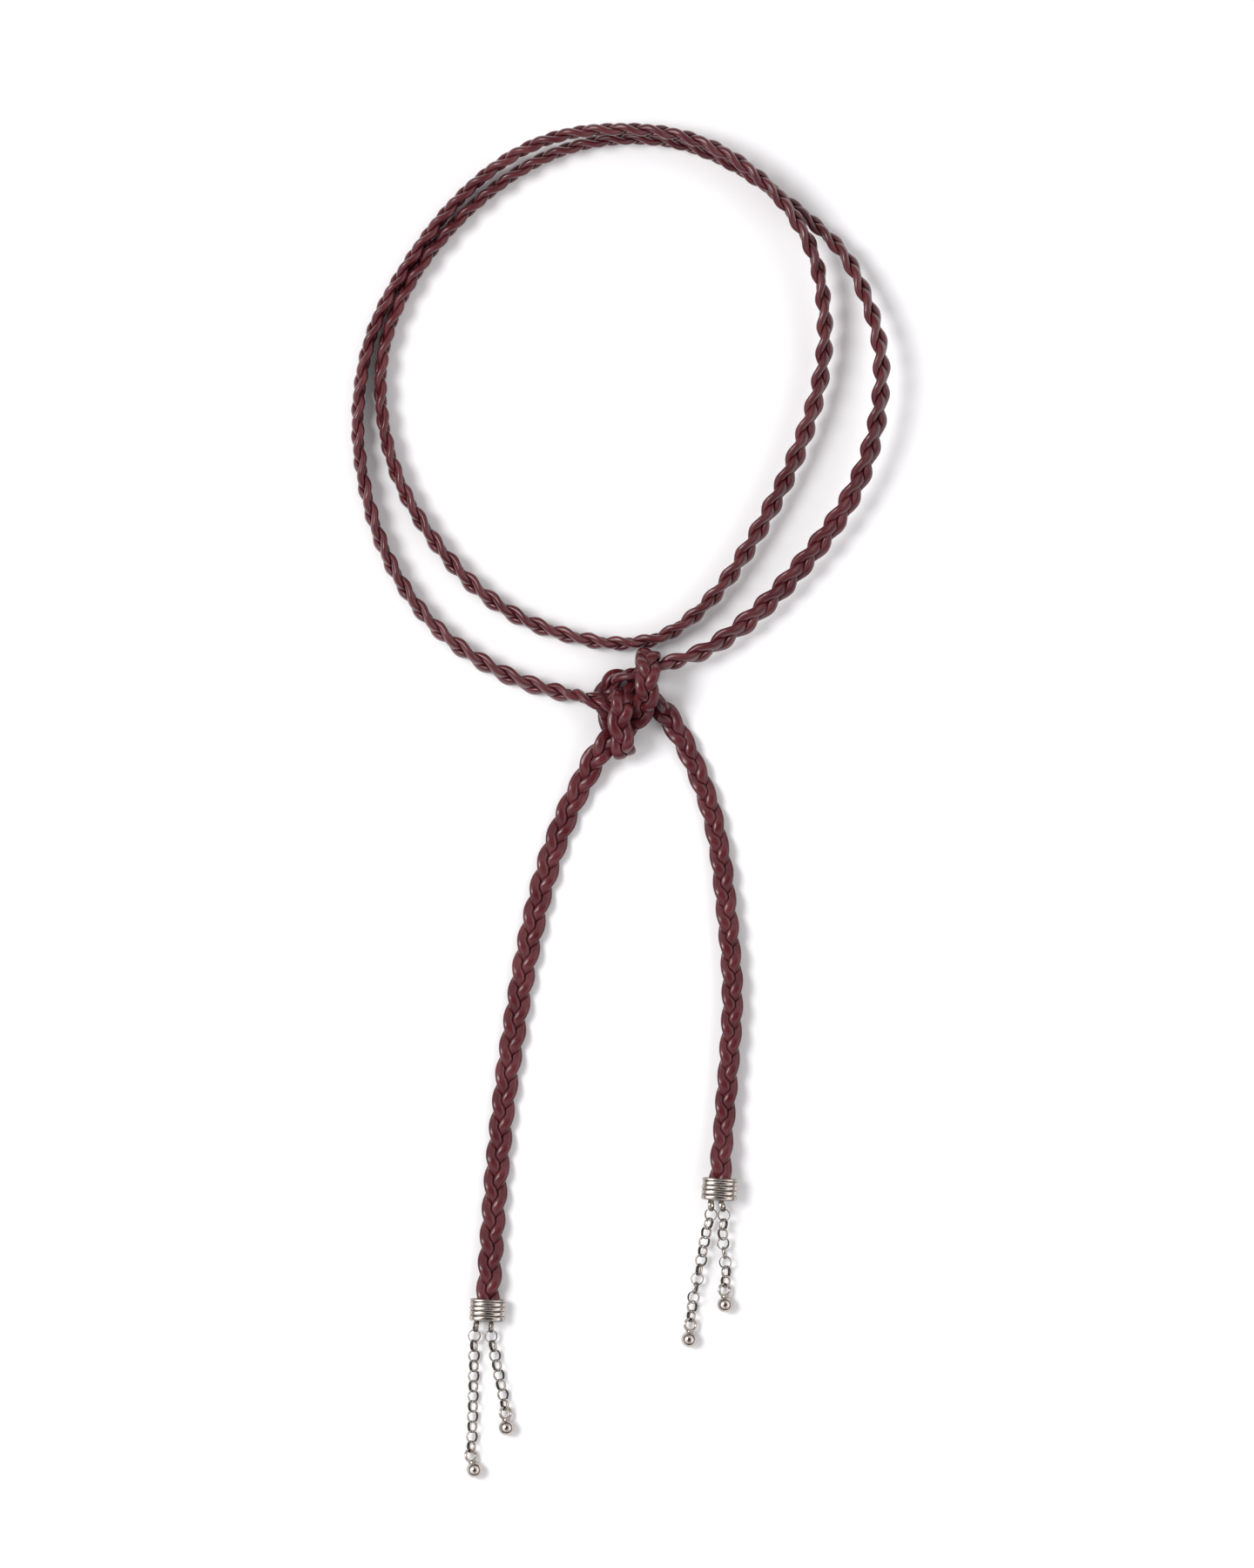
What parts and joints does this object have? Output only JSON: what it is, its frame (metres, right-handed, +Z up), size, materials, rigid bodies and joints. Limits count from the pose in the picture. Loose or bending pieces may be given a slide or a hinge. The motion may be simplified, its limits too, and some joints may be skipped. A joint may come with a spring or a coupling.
{
  "type": "braided leather lariat necklace",
  "caption": "Long plaited leather cord necklace, doubled into neck loops and tied in a knot, with ribbed silver end caps, round-link chains and ball drops.",
  "frame": {"origin": "middle of the outline, on the surface that the necklace lies on", "axes": "+Z up from the surface, +Y from the tails to the nape of the neck loops, +X to the right as seen in front"},
  "size_m": [0.1543, 0.3879, 0.0166],
  "materials": {
    "leather": "satin oiled dark burgundy leather",
    "silver": "bright antiqued silver with dark recesses"
  },
  "bodies": {
    "root": {"left_end_cap": "silver", "left_long_chain_ball_drop": "silver", "left_long_chain_link_01": "silver", "left_long_chain_link_02": "silver", "left_long_chain_link_03": "silver", "left_long_chain_link_04": "silver", "left_long_chain_link_05": "silver", "left_long_chain_link_06": "silver", "left_long_chain_link_07": "silver", "left_long_chain_link_08": "silver", "left_long_chain_link_09": "silver", "left_long_chain_link_10": "silver", "left_long_chain_link_11": "silver", "left_long_chain_link_12": "silver", "left_short_chain_ball_drop": "silver", "left_short_chain_link_01": "silver", "left_short_chain_link_02": "silver", "left_short_chain_link_03": "silver", "left_short_chain_link_04": "silver", "left_short_chain_link_05": "silver", "left_short_chain_link_06": "silver", "left_short_chain_link_07": "silver", "left_short_chain_link_08": "silver", "plait_lace_a_inner": "leather", "plait_lace_a_outer": "leather", "plait_lace_b_inner": "leather", "plait_lace_b_outer": "leather", "plait_lace_c_inner": "leather", "plait_lace_c_outer": "leather", "right_end_cap": "silver", "right_long_chain_ball_drop": "silver", "right_long_chain_link_01": "silver", "right_long_chain_link_02": "silver", "right_long_chain_link_03": "silver", "right_long_chain_link_04": "silver", "right_long_chain_link_05": "silver", "right_long_chain_link_06": "silver", "right_long_chain_link_07": "silver", "right_long_chain_link_08": "silver", "right_long_chain_link_09": "silver", "right_long_chain_link_10": "silver", "right_long_chain_link_11": "silver", "right_long_chain_link_12": "silver", "right_short_chain_ball_drop": "silver", "right_short_chain_link_01": "silver", "right_short_chain_link_02": "silver", "right_short_chain_link_03": "silver", "right_short_chain_link_04": "silver", "right_short_chain_link_05": "silver", "right_short_chain_link_06": "silver", "right_short_chain_link_07": "silver", "right_short_chain_link_08": "silver"}
  },
  "joints": []
}
